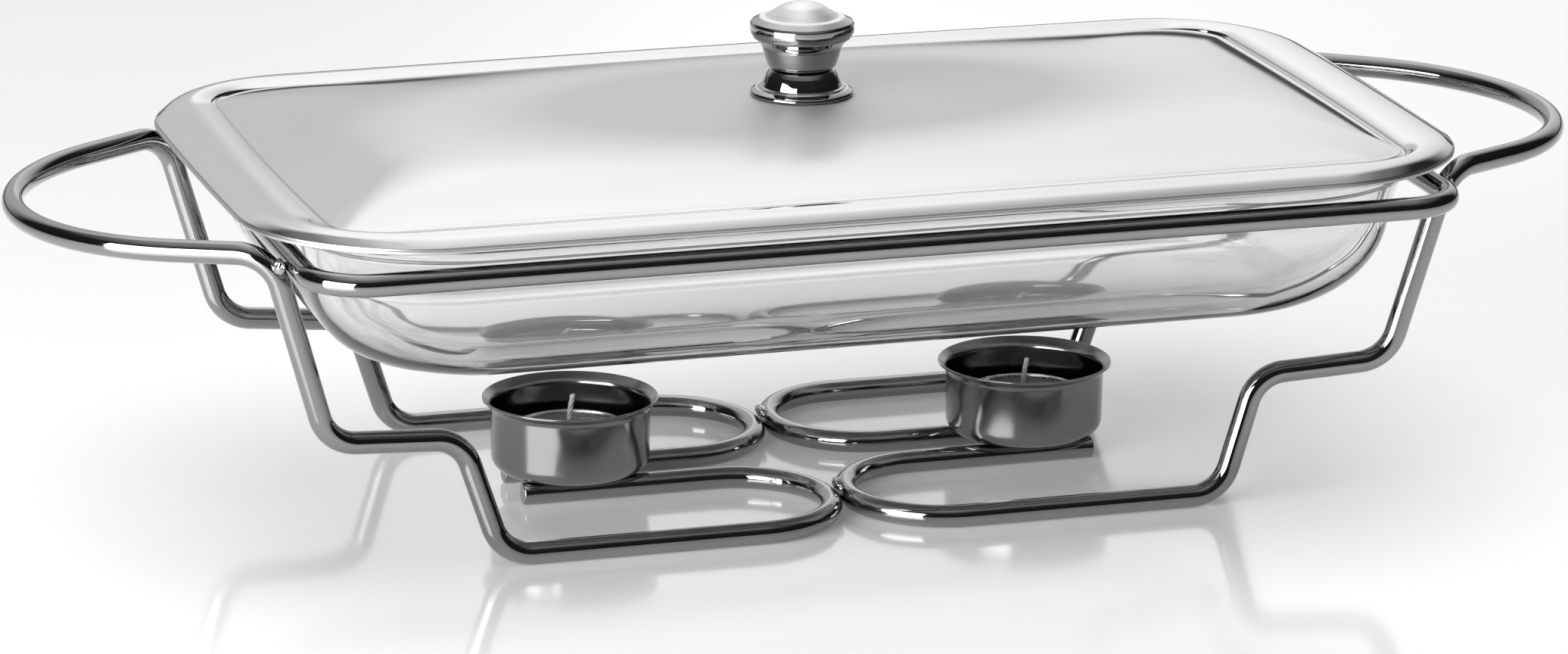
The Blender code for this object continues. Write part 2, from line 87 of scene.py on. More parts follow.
DISH_CORNER_R = 60.0
DISH_WALL_X = 180.2
DISH_WALL_Y = 105.3
DISH_WALL_CORNER_R = 46.0
DISH_BASE = 7.0
DISH_WALL = 5.0
DISH_BEND_R = 33.0
DISH_DRAFT = 3.0
DISH_TIGHTENING = 0.45
DISH_SHARPEST_CORNER_R = 12.0
DISH_FLANGE = 5.7
DISH_FLANGE_EDGE_R = 2.4
DISH_MOUTH_R = 2.2

LID_CORNER_R = 56.0
LID_BOW = 2.0
LID_SHEET = 0.8
LID_CREASE_IN = 18.5
LID_CREASE_END = 4.0
LID_CREASE_CORNER_R = 15.0
LID_HOLE_R = 3.0

# Section of the lid's border, as (inset from the edge, height above it, fillet).
HEM_FOLD = 1.2
LID_HEM = [(1.1, 0.0, 0), (0.0, 0.0, 0.4), (0.0, 0.9, 0.35), (0.4, 1.2, 0.2), (0.8, 1.8, 0.3)]
LID_BORDER = [(4.9, 4.2, 9.0), (11.5, 5.2, 16.0)]
LID_CREASE = [(17.7, 3.1, 0.7), (18.2, 2.3, 0.35), (18.8, 2.2, 0.35), (19.4, 2.9, 0.6), (20.6, 3.25, 0)]

# The panel inside the crease: a soft shoulder, then a shallow crown, flat where the knob stands.
LID_PANEL_REACH = 52.0
LID_PANEL_STEPS = 30
LID_SHOULDER = 5.6
LID_SHOULDER_REACH = 15.0
KNOB_SEAT_R = 15.0
KNOB_SEAT_EASE = 22.0

# Roughness of the lid in the middle, at the ends and added on the hem, and how high the dull hem reaches.
LID_HAZE_MIDDLE = 0.62
LID_HAZE_END = 0.05
HEM_DULL = 0.35
HEM_DULL_TOP = 1.6
HEM_DULL_FADE = 0.5

CUP_SHEET = 0.8
CUP_FLARE_OUT = 2.6
CUP_FLARE_HEIGHT = 2.7
FOIL_SHEET = 0.35
FOIL_FLUTES = 48
FOIL_FLUTE_DEPTH = 0.16
WICK_STRANDS = 3
WICK_TWISTS = 3.2
STRAND_R = 0.50
STRAND_OFFSET = 0.42


# ---------------------------------------------------------------- paths and outlines

def rounded_path(corners, closed=False, step=BEND_STEP):
    """Corner points with a bend radius each, turned into points along straights and arcs."""
    points = []
    count = len(corners)
    for index, (corner, radius) in enumerate(corners):
        corner = Vector(corner)
        if radius == 0 or (not closed and index in (0, count - 1)):
            points.append(corner)
            continue
        before = (Vector(corners[index - 1][0]) - corner).normalized()
        after = (Vector(corners[(index + 1) % count][0]) - corner).normalized()
        turn = math.pi - before.angle(after)
        tangent = radius * math.tan(turn / 2)
        centre = corner + (before + after).normalized() * radius / math.cos(turn / 2)
        start = corner + before * tangent - centre
        axis = start.cross(corner + after * tangent - centre).normalized()
        steps = max(2, math.ceil(turn / step))
        for i in range(steps + 1):
            points.append(centre + Quaternion(axis, turn * i / steps) @ start)
    kept = [points[0]]
    for point in points[1:]:
        if (point - kept[-1]).length > SAME_POINT:
            kept.append(point)
    if closed and (kept[0] - kept[-1]).length <= SAME_POINT:
        kept.pop()
    return kept


def spline(points, per_segment=5):
    """Smooth curve through 2D points (centripetal Catmull-Rom)."""
    pts = [Vector((p[0], 0, p[1])) for p in points]
    pts = [pts[0] * 2 - pts[1]] + pts + [pts[-1] * 2 - pts[-2]]
    out = []
    for i in range(1, len(pts) - 2):
        p0, p1, p2, p3 = pts[i - 1:i + 3]
        t0 = 0.0
        t1 = t0 + max((p1 - p0).length, 1e-6) ** 0.5
        t2 = t1 + max((p2 - p1).length, 1e-6) ** 0.5
        t3 = t2 + max((p3 - p2).length, 1e-6) ** 0.5
        for k in range(per_segment):
            t = t1 + (t2 - t1) * k / per_segment
            a1 = p0 * ((t1 - t) / (t1 - t0)) + p1 * ((t - t0) / (t1 - t0))
            a2 = p1 * ((t2 - t) / (t2 - t1)) + p2 * ((t - t1) / (t2 - t1))
            a3 = p2 * ((t3 - t) / (t3 - t2)) + p3 * ((t - t2) / (t3 - t2))
            b1 = a1 * ((t2 - t) / (t2 - t0)) + a2 * ((t - t0) / (t2 - t0))
            b2 = a2 * ((t3 - t) / (t3 - t1)) + a3 * ((t - t1) / (t3 - t1))
            c = b1 * ((t2 - t) / (t2 - t1)) + b2 * ((t - t1) / (t2 - t1))
            out.append((c.x, c.z))
    out.append(points[-1])
    return out


def turned(corners, step=math.radians(12)):
    """(radius, z, fillet) corners as a smooth profile of (radius, z) points."""
    path = rounded_path([((r, 0, z), fillet) for r, z, fillet in corners], step=step)
    return [(p.x, p.z) for p in path]


def rounded_rectangle(half_x, half_y, corner_r, bow=0.0, corner_steps=30, side_steps=16):
    """Rounded rectangle, anticlockwise from the middle of the +X side, with its corners drawn in by bow."""
    points = []
    for quarter in range(4):
        swap = quarter % 2
        along = half_x if swap else half_y
        across = half_y if swap else half_x
        straight = along - corner_r
        local = [(across, straight * i / side_steps) for i in range(side_steps)]
        for i in range(corner_steps + 1):
            angle = math.pi / 2 * i / corner_steps
            beside = across - corner_r + corner_r * math.cos(angle)
            local.append((beside, straight + corner_r * math.sin(angle)))
        local += [((across - corner_r) * (1 - i / side_steps), along) for i in range(1, side_steps)]
        turn = Matrix.Rotation(math.pi / 2 * quarter, 2)
        points += [turn @ Vector(p) for p in local]
    out = []
    for p in points:
        pull_x = bow * (p.y / half_y) ** 2 * p.x / half_x
        pull_y = bow * (p.x / half_x) ** 2 * p.y / half_y
        out.append(Vector((p.x - pull_x, p.y - pull_y)))
    return out


# ---------------------------------------------------------------- meshes

def bridge(bm, first, second, material=0):
    """Faces between two rings of vertices, either of which may be a single point."""
    count = max(len(first), len(second))
    for k in range(count):
        j = (k + 1) % count
        if len(first) == 1:
            face = bm.faces.new((first[0], second[k], second[j]))
        elif len(second) == 1:
            face = bm.faces.new((first[k], first[j], second[0]))
        else:
            face = bm.faces.new((first[k], first[j], second[j], second[k]))
        face.material_index = material


def ring_of(bm, centre, up, side, radius, sides):
    """Circle of vertices in the plane of up and side."""
    verts = []
    for k in range(sides):
        angle = 2 * math.pi * k / sides
        verts.append(bm.verts.new(centre + (up * math.cos(angle) + side * math.sin(angle)) * radius))
    return verts


def sweep(bm, points, radius, sides=ROD_SIDES, closed=False, bevel=0.5, end_material=0):
    """Round rod along points, with flat ends whose edges are broken by a small bevel."""
    count = len(points)
    directions = []
    for i in range(count):
        ahead = points[(i + 1) % count] - points[i] if closed or i < count - 1 else None
        behind = points[i] - points[i - 1] if closed or i > 0 else None
        ahead = ahead or behind
        behind = behind or ahead
        directions.append((ahead.normalized() + behind.normalized()).normalized())
    up = Vector((1, 0, 0)) if abs(directions[0].z) > 0.9 else Vector((0, 0, 1))
    rings = []
    frames = []
    for i, direction in enumerate(directions):
        if i:
            up = directions[i - 1].rotation_difference(direction) @ up
        up = (up - direction * up.dot(direction)).normalized()
        side = direction.cross(up)
        centre = points[i]
        if not closed and i == 0:
            centre = centre + direction * bevel
        if not closed and i == count - 1:
            centre = centre - direction * bevel
        frames.append((up.copy(), side.copy()))
        rings.append(ring_of(bm, centre, up, side, radius, sides))
    for first, second in zip(rings, rings[1:]):
        bridge(bm, first, second)
    if closed:
        bridge(bm, rings[-1], rings[0])
        return
    for at, sign in ((0, -1), (-1, 1)):
        close_end(bm, rings[at], points[at], directions[at] * sign, frames[at], radius, bevel, end_material)


def close_end(bm, ring, tip, outward, frame_axes, radius, bevel, material):
    """Round the edge of a rod's end and fill its flat face."""
    up, side = frame_axes
    last = ring
    sides = len(ring)
    for degrees in (30, 60, 90):
        angle = math.radians(degrees)
        centre = tip - outward * bevel * (1 - math.sin(angle))
        new = ring_of(bm, centre, up, side, radius - bevel * (1 - math.cos(angle)), sides)
        bridge(bm, last, new)
        last = new
    for share in (0.66, 0.33):
        new = ring_of(bm, tip, up, side, (radius - bevel) * share, sides)
        bridge(bm, last, new, material)
        last = new
    bridge(bm, last, [bm.verts.new(tip)], material)


def lathe(bm, profile, centre, segments, flute=None):
    """Solid of revolution about a vertical axis. flute(radius, z, angle) may shift the radius.

    A profile that starts on the axis also ends there. Any other is the section of a ring.
    """
    rings = []
    for radius, z in profile:
        if radius == 0:
            rings.append([bm.verts.new((centre[0], centre[1], z))])
            continue
        ring = []
        for k in range(segments):
            angle = 2 * math.pi * k / segments
            r = radius + (flute(radius, z, angle) if flute else 0)
            ring.append(bm.verts.new((centre[0] + r * math.cos(angle), centre[1] + r * math.sin(angle), z)))
        rings.append(ring)
    for first, second in zip(rings, rings[1:]):
        bridge(bm, first, second)
    if profile[0][0] != 0:
        bridge(bm, rings[-1], rings[0])


def skin(bm, levels, capped=True):
    """Skin levels of 3D points, all of one count. Levels that aren't capped run round into a loop."""
    rings = [[bm.verts.new(p) for p in level] for level in levels]
    for first, second in zip(rings, rings[1:]):
        bridge(bm, first, second)
    if capped:
        cap_ring(bm, rings[0])
        cap_ring(bm, rings[-1])
    else:
        bridge(bm, rings[-1], rings[0])


def cap_ring(bm, ring):
    """Close a flat outline with rings that shrink to its middle, so that no long faces are left."""
    middle = Vector()
    for v in ring:
        middle += v.co / len(ring)
    last = ring
    for share in (0.15, 0.4, 0.7):
        new = [bm.verts.new(v.co.lerp(middle, share)) for v in ring]
        bridge(bm, last, new)
        last = new
    bridge(bm, last, [bm.verts.new(middle)])


def make_piece(name, bm, materials, body, nodes, sharp_deg=50):
    """Turn a bmesh in millimetres into a piece that stands for its CAD nodes."""
    bmesh.ops.recalc_face_normals(bm, faces=bm.faces)
    bmesh.ops.scale(bm, vec=(MM, MM, MM), verts=bm.verts)
    mesh = bpy.data.meshes.new(name)
    bm.to_mesh(mesh)
    bm.free()
    mesh.shade_smooth()
    mesh.set_sharp_from_angle(angle=math.radians(sharp_deg))
    for material in materials:
        mesh.materials.append(material)
    piece = bpy.data.objects.new(name, mesh)
    bpy.context.scene.collection.objects.link(piece)
    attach(piece, body)
    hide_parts(*nodes)


# ---------------------------------------------------------------- materials

def add_node(tree, kind, inputs=None, **settings):
    """New node with its settings made, and each input linked to a socket or set to a value."""
    item = tree.nodes.new(kind)
    for key, value in settings.items():
        setattr(item, key, value)
    for key, value in (inputs or {}).items():
        if isinstance(value, bpy.types.NodeSocket):
            tree.links.new(value, item.inputs[key])
        else:
            item.inputs[key].default_value = value
    return item


class Nodes:
    """Short way to write a material's node tree. Scales are per metre."""

    def __init__(self, name, roughness, metallic=0.0, **constants):
        self.material = bpy.data.materials.new(name)
        self.material.use_nodes = True
        self.tree = self.material.node_tree
        self.shader = self.tree.nodes["Principled BSDF"]
        values = {"Roughness": roughness, "Metallic": metallic, **constants}
        for socket, value in values.items():
            self.shader.inputs[socket.replace("_", " ")].default_value = value
        self.place = self.node("ShaderNodeTexCoord").outputs["Object"]

    def node(self, kind, inputs=None, **settings):
        return add_node(self.tree, kind, inputs, **settings)

    def stretched(self, scale, place=None):
        """Coordinates scaled by a different amount along each axis, per metre."""
        inputs = {"Vector": place or self.place, "Scale": scale}
        return self.node("ShaderNodeMapping", inputs).outputs["Vector"]

    def noise(self, scale, detail=3.0, place=None, roughness=0.5):
        inputs = {"Scale": scale, "Detail": detail, "Roughness": roughness, "Vector": place or self.place}
        return self.node("ShaderNodeTexNoise", inputs).outputs["Fac"]

    def remap(self, value, low, high, from_low=0.3, from_high=0.7):
        inputs = {"Value": value, "From Min": from_low, "From Max": from_high, "To Min": low, "To Max": high}
        return self.node("ShaderNodeMapRange", inputs).outputs["Result"]

    def maths(self, operation, a, b=0.0):
        return self.node("ShaderNodeMath", {0: a, 1: b}, operation=operation).outputs[0]

    def shared(self, a, b, share):
        """Number between a and b, with this share of b."""
        return self.maths("ADD", self.maths("MULTIPLY", a, 1 - share), self.maths("MULTIPLY", b, share))

    def blend(self, factor, a, b):
        """Colour between a and b."""
        item = self.node("ShaderNodeMix", data_type="RGBA")
        self.tree.links.new(factor, item.inputs[0])
        item.inputs[6].default_value = (*a, 1.0)
        item.inputs[7].default_value = (*b, 1.0)
        return item.outputs[2]

    def around(self, centre_m):
        """Turned-part coordinates about a vertical axis: distance, angle, height, in metres and radians."""
        to_axis = (-centre_m[0], -centre_m[1], 0)
        shifted = self.node("ShaderNodeMapping", {"Vector": self.place, "Location": to_axis})
        x, y, z = self.node("ShaderNodeSeparateXYZ", {"Vector": shifted.outputs["Vector"]}).outputs
        squares = self.maths("ADD", self.maths("MULTIPLY", x, x), self.maths("MULTIPLY", y, y))
        radius = self.maths("SQRT", squares)
        angle = self.maths("ARCTAN2", y, x)
        return self.node("ShaderNodeCombineXYZ", {"X": radius, "Y": angle, "Z": z}).outputs["Vector"]

    def feed(self, socket, value):
        self.tree.links.new(value, self.shader.inputs[socket])
        return self

    def bumps(self, *layers):
        """Layers of (height socket, depth in millimetres), added one on another."""
        normal = None
        for height, depth in layers:
            inputs = {"Height": height, "Distance": depth * MM, "Strength": 1.0}
            if normal:
                inputs["Normal"] = normal
            normal = self.node("ShaderNodeBump", inputs).outputs["Normal"]
        return self.feed("Normal", normal)


def grey(value):
    """Neutral colour of one brightness."""
    return (value, value, value)


def rod_chrome():
    """Bright plating on drawn rod, with a slight waviness."""
    n = Nodes("rod_chrome", 0.05, 1.0)
    n.feed("Base Color", n.blend(n.noise(35, 4), grey(0.305), grey(0.35)))
    n.feed("Roughness", n.remap(n.noise(180, 5), 0.03, 0.075))
    return n.bumps((n.noise(45, 1), 0.008), (n.noise(900, 3), 0.0003)).material


def weld_metal():
    """Plated weld metal: rippled, and duller in patches."""
    n = Nodes("weld_chrome", 0.15, 1.0)
    n.feed("Base Color", n.blend(n.noise(600, 3), grey(0.34), grey(0.62)))
    n.feed("Roughness", n.remap(n.noise(900, 4), 0.08, 0.26))
    return n.bumps((n.noise(700, 3), 0.15)).material


def sawn_end():
    """Saw marks on a rod's cut end."""
    n = Nodes("sawn_rod_end", 0.35, 1.0)
    lines = n.noise(500, 3, n.stretched((0.4, 0.4, 12)))
    n.feed("Base Color", n.blend(lines, grey(0.3), grey(0.55)))
    n.feed("Roughness", n.remap(lines, 0.25, 0.5))
    return n.bumps((lines, 0.04)).material


def satin_steel(name, centre_m):
    """Spun sheet steel: fine lines run round the cup."""
    n = Nodes(name, 0.3, 1.0, Anisotropic=0.35)
    turned_at = n.around(centre_m)
    lines = n.noise(1.0, 3, n.stretched((2600, 0.6, 2600), turned_at), 0.6)
    cloud = n.noise(90, 3)
    n.feed("Base Color", n.blend(cloud, grey(0.26), grey(0.30)))
    n.feed("Roughness", n.remap(n.shared(lines, cloud, 0.6), 0.13, 0.19))
    return n.bumps((lines, 0.0006), (n.noise(28, 1), 0.02)).material


def pressed_glass():
    """Clear pressed glass with a slightly uneven surface."""
    n = Nodes("pressed_glass", 0.0, 0.0, IOR=1.5, Transmission_Weight=1.0)
    n.feed("Base Color", n.blend(n.noise(14, 2), grey(0.925), grey(0.94)))
    n.feed("Roughness", n.remap(n.noise(30, 1), 0.02, 0.05))
    return n.bumps((n.noise(9, 0), 0.012)).material


def polished_lid():
    """Polished sheet: hazier in the middle, where it is wiped most, clearer at the ends, dull on the hem."""
    n = Nodes("polished_lid_steel", 0.2, 1.0)
    hairs = n.noise(1.0, 4, n.stretched((60, 2600, 60)), 0.65)
    smudge = n.noise(14, 5)
    oval = n.stretched((5.6, 10.5, 0))
    from_middle = n.node("ShaderNodeVectorMath", {0: oval}, operation="LENGTH").outputs["Value"]
    haze = n.remap(from_middle, LID_HAZE_MIDDLE, LID_HAZE_END, 0.46, 0.95)
    cloud = n.remap(n.shared(hairs, smudge, 0.7), -0.02, 0.03)
    height = n.node("ShaderNodeSeparateXYZ", {"Vector": n.place}).outputs["Z"]
    hem_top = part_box("lid_cover")[0].z + HEM_DULL_TOP * MM
    dull_hem = n.remap(height, HEM_DULL, 0.0, hem_top, hem_top + HEM_DULL_FADE * MM)
    n.feed("Base Color", n.blend(smudge, grey(0.66), grey(0.71)))
    n.feed("Roughness", n.maths("ADD", n.maths("ADD", haze, cloud), dull_hem))
    return n.bumps((n.noise(9, 1), 0.06), (hairs, 0.0006)).material


def turned_chrome():
    """Bright plating over fine turning marks."""
    n = Nodes("knob_chrome", 0.04, 1.0)
    turned_at = n.around((0, 0))
    rings = n.noise(1.0, 3, n.stretched((3200, 0.4, 3200), turned_at))
    n.feed("Base Color", n.blend(n.noise(70, 3), grey(0.42), grey(0.47)))
    n.feed("Roughness", n.remap(n.noise(260, 4), 0.02, 0.06))
    return n.bumps((rings, 0.0008), (n.noise(160, 1), 0.006)).material


def satin_cap_painted_highlight():
    """Top of the knob: fine-turned satin, whose pale colour is a painted highlight of the light from above.
    """
    n = Nodes("knob_satin_top_painted_highlight", 0.4, 1.0)
    rings = n.noise(1.0, 3, n.stretched((3600, 0.3, 600), n.around((0, 0))))
    # Painted highlight: the dome is much paler than the chrome below it, standing in for light from above
    # caught by its sheen.
    n.feed("Base Color", n.blend(n.noise(90, 3), grey(0.84), grey(0.90)))
    n.feed("Roughness", n.remap(rings, 0.36, 0.46))
    return n.bumps((rings, 0.0015)).material


def aluminium_foil():
    """Thin drawn aluminium, slightly crinkled."""
    n = Nodes("tealight_aluminium", 0.28, 1.0)
    n.feed("Base Color", n.blend(n.noise(300, 4), grey(0.66), grey(0.8)))
    n.feed("Roughness", n.remap(n.noise(500, 4), 0.18, 0.36))
    return n.bumps((n.noise(450, 3), 0.03)).material


def candle_wax_painted_shade():
    """Wax that lets a little light in, uneven where it has set; its dark grey colour is painted shade, for
    the shadow it sits in under the dish.
    """
    under_skin = {"Subsurface_Weight": 0.35, "Subsurface_Scale": 0.002, "Subsurface_Radius": (1, 1, 1)}
    n = Nodes("candle_wax_painted_shade", 0.35, IOR=1.43, **under_skin)
    cloud = n.noise(160, 4)
    # Painted shade: white wax is given a dark grey colour to stand for the shadow under the dish.
    n.feed("Base Color", n.blend(cloud, grey(0.27), grey(0.35)))
    n.feed("Roughness", n.remap(n.noise(220, 4), 0.24, 0.46))
    return n.bumps((n.noise(120, 2), 0.12), (n.noise(900, 3), 0.01)).material


def cotton_wick():
    """Cotton yarn with fibres along its length."""
    n = Nodes("cotton_wick", 0.9, Sheen_Weight=0.3)
    fibres = n.noise(3500, 3, n.stretched((1, 1, 0.25)))
    n.feed("Base Color", n.blend(fibres, grey(0.6), grey(0.86)))
    n.feed("Roughness", n.remap(fibres, 0.75, 0.95))
    return n.bumps((fibres, 0.12)).material


def dull_metal(name, dark, light, smooth, rough):
    """Plain tin or zinc plate, cloudy in colour and finish."""
    grain = 500
    n = Nodes(name, 0.35, 1.0)
    n.feed("Base Color", n.blend(n.noise(grain / 3, 4), grey(dark), grey(light)))
    n.feed("Roughness", n.remap(n.noise(grain, 4), smooth, rough))
    return n.bumps((n.noise(grain, 3), 0.01)).material


# ---------------------------------------------------------------- camera, floor and light

CAMERA_PLACE = (-0.635968, -2.039726, 0.654429)
CAMERA_YAW = math.radians(17.17857)
CAMERA_PITCH = math.radians(15.83673)
CAMERA_ROLL = math.radians(0.394776)
CAMERA_LENS = 157.15

FLOOR_HALF = 14.0
FLOOR_BELOW = 0.00005

LIGHT_TARGET = Vector((0, 0, 0.05))

# Studio ramps over height, as (sine of the elevation, brightness). The low dark gap is where the table ends.
DARK_FRONT = ((0.0, 0.012), (0.60, 0.02), (0.79, 0.15), (0.93, 0.33), (1.0, 0.52))
TABLE_GAP = ((0.0, 0.05), (0.04, 0.06))
CEILING_EDGE = ((0.97, 0.7), (1.0, 0.6))
LIT_WALL = (*TABLE_GAP, (0.08, 0.62), (0.25, 0.74), (0.5, 0.76), (0.83, 0.82), *CEILING_EDGE)
GREY_WALL = (*TABLE_GAP, (0.08, 0.36), (0.25, 0.42), (0.5, 0.5), (0.83, 0.76), *CEILING_EDGE)


def make_camera():
    """Three-quarter view from the front left, a little above, with a long lens."""
    yaw, pitch, roll = CAMERA_YAW, CAMERA_PITCH, CAMERA_ROLL
    ahead = Vector((math.sin(yaw) * math.cos(pitch), math.cos(yaw) * math.cos(pitch), -math.sin(pitch)))
    right = Vector((math.cos(yaw), -math.sin(yaw), 0))
    up = right.cross(ahead)
    rolled_right = right * math.cos(roll) + up * math.sin(roll)
    rolled_up = up * math.cos(roll) - right * math.sin(roll)
    data = bpy.data.cameras.new("camera")
    data.sensor_fit = "HORIZONTAL"
    data.sensor_width = 36.0
    data.lens = CAMERA_LENS
    data.clip_start = 0.05
    data.clip_end = 60.0
    camera = bpy.data.objects.new("camera", data)
    turn = Matrix((rolled_right, rolled_up, -ahead)).transposed().to_4x4()
    camera.matrix_world = Matrix.Translation(CAMERA_PLACE) @ turn
    bpy.context.scene.collection.objects.link(camera)
    bpy.context.scene.camera = camera


def make_floor():
    """Plain white acrylic table that mirrors the wire a little."""
    bm = bmesh.new()
    bmesh.ops.create_grid(bm, x_segments=8, y_segments=8, size=FLOOR_HALF)
    mesh = bpy.data.meshes.new("floor")
    bm.to_mesh(mesh)
    bm.free()
    n = Nodes("floor_acrylic", 0.1, IOR=1.8, Emission_Color=(1, 1, 1, 1), Emission_Strength=0.13)
    n.feed("Base Color", n.blend(n.noise(3, 2), grey(0.84), grey(0.86)))
    n.feed("Roughness", n.remap(n.noise(6, 2), 0.09, 0.12))
    mesh.materials.append(n.material)
    floor = bpy.data.objects.new("floor", mesh)
    floor.location.z = -FLOOR_BELOW
    bpy.context.scene.collection.objects.link(floor)


def make_world():
    """Studio: bright wall behind, soft ceiling, dark in front. The camera sees a plain pale room."""
    world = bpy.data.worlds.new("studio")
    world.use_nodes = True
    bpy.context.scene.world = world
    tree = world.node_tree
    tree.nodes.clear()

    def add(kind, inputs=None, **settings):
        return add_node(tree, kind, inputs, **settings)

    def ramp(factor, stops):
        item = add("ShaderNodeValToRGB", {"Fac": factor})
        item.color_ramp.interpolation = "EASE"
        elements = item.color_ramp.elements
        while len(elements) < len(stops):
            elements.new(0.5)
        for element, (position, value) in zip(elements, stops):
            element.position = position
            element.color = (value, value, value, 1.0)
        return item.outputs["Color"]

    def maths(operation, a, b=0.0):
        return add("ShaderNodeMath", {0: a, 1: b}, operation=operation).outputs[0]

    def smooth(value, low, high):
        inputs = {"Value": value, "From Min": low, "From Max": high}
        return add("ShaderNodeMapRange", inputs, interpolation_type="SMOOTHSTEP").outputs["Result"]

    def between(factor, a, b):
        item = add("ShaderNodeMix", data_type="RGBA")
        for socket, value in ((0, factor), (6, a), (7, b)):
            tree.links.new(value, item.inputs[socket])
        return item.outputs[2]

    def weighed(*terms):
        total = maths("MULTIPLY", *terms[0])
        for value, weight in terms[1:]:
            total = maths("ADD", total, maths("MULTIPLY", value, weight))
        return total

    direction = add("ShaderNodeTexCoord").outputs["Generated"]
    x, y, z = add("ShaderNodeSeparateXYZ", {"Vector": direction}).outputs
    # The lit part of the wall behind ends on the left in a slanted soft edge.
    edge = smooth(weighed((x, 1.0), (z, 0.45), (y, -0.375)), -0.04, 0.05)
    wall = between(edge, ramp(z, GREY_WALL), ramp(z, LIT_WALL))
    # The wall stands behind, a little to the right, and the room is dark round it.
    level = maths("SQRT", maths("SUBTRACT", 1.0001, maths("MULTIPLY", z, z)))
    facing = maths("DIVIDE", weighed((x, 0.208), (y, 0.978)), level)
    walls = between(smooth(facing, 0.60, 0.97), ramp(z, DARK_FRONT), wall)
    # The room is less bright towards the right.
    strength = maths("ADD", 1.68, maths("MULTIPLY", smooth(x, 0.2, 0.5), -0.38))
    room = add("ShaderNodeBackground", {"Color": walls, "Strength": strength})
    plain = add("ShaderNodeBackground", {"Color": (1, 1, 1, 1), "Strength": 1.0})
    seen = add("ShaderNodeLightPath").outputs["Is Camera Ray"]
    mixed = add("ShaderNodeMixShader", {0: seen, 1: room.outputs[0], 2: plain.outputs[0]})
    out = add("ShaderNodeOutputWorld")
    tree.links.new(mixed.outputs[0], out.inputs["Surface"])


def area_light(name, power, size, azimuth_deg, elevation_deg, distance, mirrored=True):
    """Rectangular soft box aimed at the object. Azimuth 0 is in front, and positive is to the left."""
    data = bpy.data.lights.new(name, "AREA")
    data.shape = "RECTANGLE"
    data.size, data.size_y = size
    data.energy = power
    azimuth = math.radians(azimuth_deg)
    elevation = math.radians(elevation_deg)
    level = math.cos(elevation)
    away = Vector((-math.sin(azimuth) * level, -math.cos(azimuth) * level, math.sin(elevation)))
    light = bpy.data.objects.new(name, data)
    light.location = LIGHT_TARGET + away * distance
    light.rotation_mode = "QUATERNION"
    light.rotation_quaternion = away.to_track_quat("Z", "Y")
    light.visible_camera = False
    light.visible_glossy = mirrored
    bpy.context.scene.collection.objects.link(light)


def light_studio():
    """Key soft box low at the front left, and a fill above that shows in no reflection."""
    bpy.context.scene.view_settings.view_transform = "Standard"
    make_world()
    area_light("key_softbox", 27.2, (1.3, 0.85), 57, 14.7, 1.5)
    area_light("ceiling_fill", 33, (2.6, 2.6), 0, 89, 2.6, mirrored=False)


# ---------------------------------------------------------------- stand

def handle_apex(side):
    """Where the handle's two straights would meet if the loop's tip were not rounded."""
    centre_x = HANDLE_TIP_X - HANDLE_TIP_R
    reach_x = HANDLE_CORNER[0] - centre_x
    reach_y = HANDLE_CORNER[1]
    tangent_angle = math.atan2(reach_y, reach_x) - math.acos(HANDLE_TIP_R / math.hypot(reach_x, reach_y))
    apex_x = centre_x + HANDLE_TIP_R / math.cos(tangent_angle)
    droop = HANDLE_DROOP * (apex_x - HANDLE_CORNER[0]) / (HANDLE_TIP_X - HANDLE_CORNER[0])
    return (side * apex_x, 0, HANDLE_CORNER[2] - droop)


def end_wire(word, side, rod, sawn):
    """One bent rod: from a free end under the cup to the handle, and back the same way behind."""
    middle_x = ROD_R + WIRE_GAP / 2
    short_of_half = 0.01
    u_bend_r = (FLOOR_CORNER[1] - INNER_Y) / 2 - short_of_half
    front = [
        ((FREE_END_X, INNER_Y, ROD_R), 0),
        ((middle_x, INNER_Y, ROD_R), u_bend_r),
        ((middle_x, FLOOR_CORNER[1], ROD_R), u_bend_r),
        (FLOOR_CORNER, LEG_BEND_R),
        (STEP_INNER, LEG_BEND_R),
        (STEP_OUTER, LEG_BEND_R),
        (HANDLE_CORNER, HANDLE_BEND_R),
    ]
    corners = [((side * x, -y, z), radius) for (x, y, z), radius in front]
    corners.append((handle_apex(side), HANDLE_TIP_R))
    corners += [((side * x, y, z), radius) for (x, y, z), radius in reversed(front)]
    bm = bmesh.new()
    sweep(bm, rounded_path(corners), ROD_R, end_material=1)
    make_piece(word + "_end_rod", bm, [rod, sawn], "stand", [word + "_end_wire"])


def ring_rod(rod):
    """Closed loop that the dish hangs in."""
    corners = []
    for x, y in ((1, -1), (1, 1), (-1, 1), (-1, -1)):
        corners.append(((x * RING_HALF_X, y * RING_HALF_Y, RING_Z), RING_CORNER_R))
    bm = bmesh.new()
    sweep(bm, rounded_path(corners, closed=True), ROD_R, closed=True)
    make_piece("rim_rod", bm, [rod], "stand", ["top_ring"])


def weld_bead(node, stretch, metal):
    """Lump of filler metal: a ball pulled along the joint, with a rippled skin."""
    low, high = box_mm(node)
    centre = (low + high) / 2
    half = (high - low) / 2
    bm = bmesh.new()
    bmesh.ops.create_icosphere(bm, subdivisions=4, radius=1.0)
    for v in bm.verts:
        spot = v.co.copy()
        ripple = 0.16 * noise.noise(spot * 2.2 + centre) + 0.05 * noise.noise(spot * 7 + centre)
        v.co = centre + spot * Vector(stretch) * half * (1 + ripple)
    make_piece(node + "_bead", bm, [metal], "stand", [node], sharp_deg=180)


